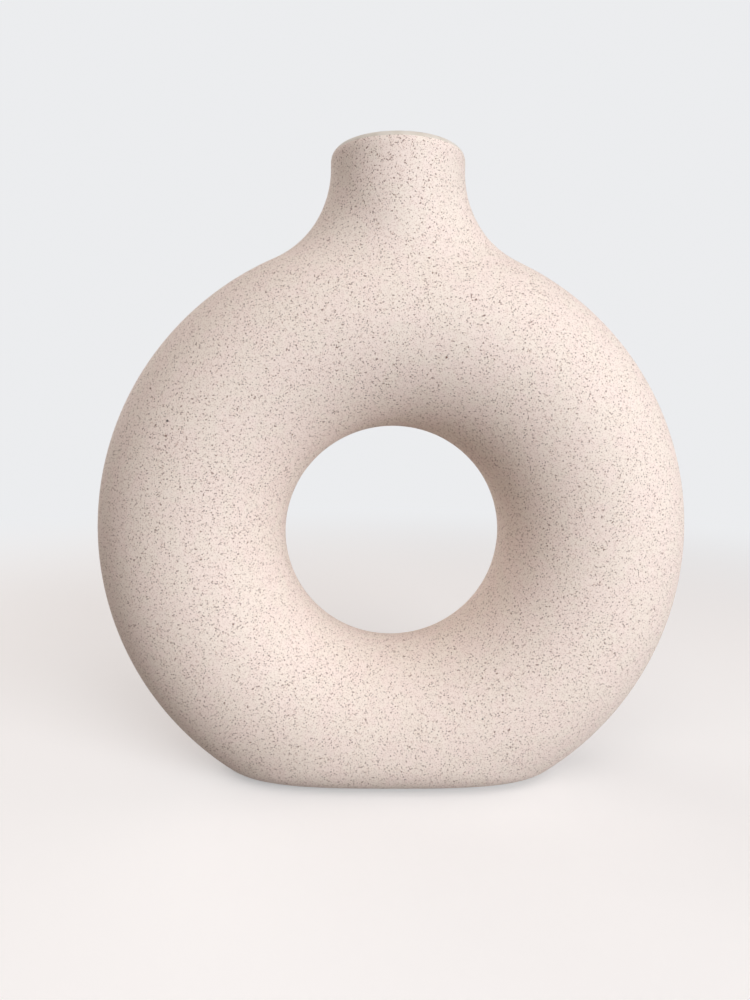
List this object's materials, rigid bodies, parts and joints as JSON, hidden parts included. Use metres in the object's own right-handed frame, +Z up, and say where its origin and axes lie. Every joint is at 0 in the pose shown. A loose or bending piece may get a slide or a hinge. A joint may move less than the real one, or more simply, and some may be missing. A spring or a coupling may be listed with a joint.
{
  "type": "donut vase",
  "caption": "Upright ring-shaped stoneware vase with an open centre, a short round neck that flares into the ring, a small mouth and a flat oval foot.",
  "frame": {"origin": "centre of the oval foot, on the surface that the vase stands on", "axes": "+Z up out of the mouth, +X along the width to the right seen from the front, -Y towards the viewer"},
  "size_m": [0.22, 0.064, 0.2317],
  "materials": {
    "stoneware": "bare fired stoneware, slightly sandy",
    "speckled_glaze": "matte pinkish cream with fine brown speckles",
    "liner_glaze": "smooth satin, pale grey beige, no speckles"
  },
  "bodies": {
    "root": {"stoneware_body": "stoneware", "speckled_glaze": "speckled_glaze", "liner_glaze": "liner_glaze"}
  },
  "joints": []
}
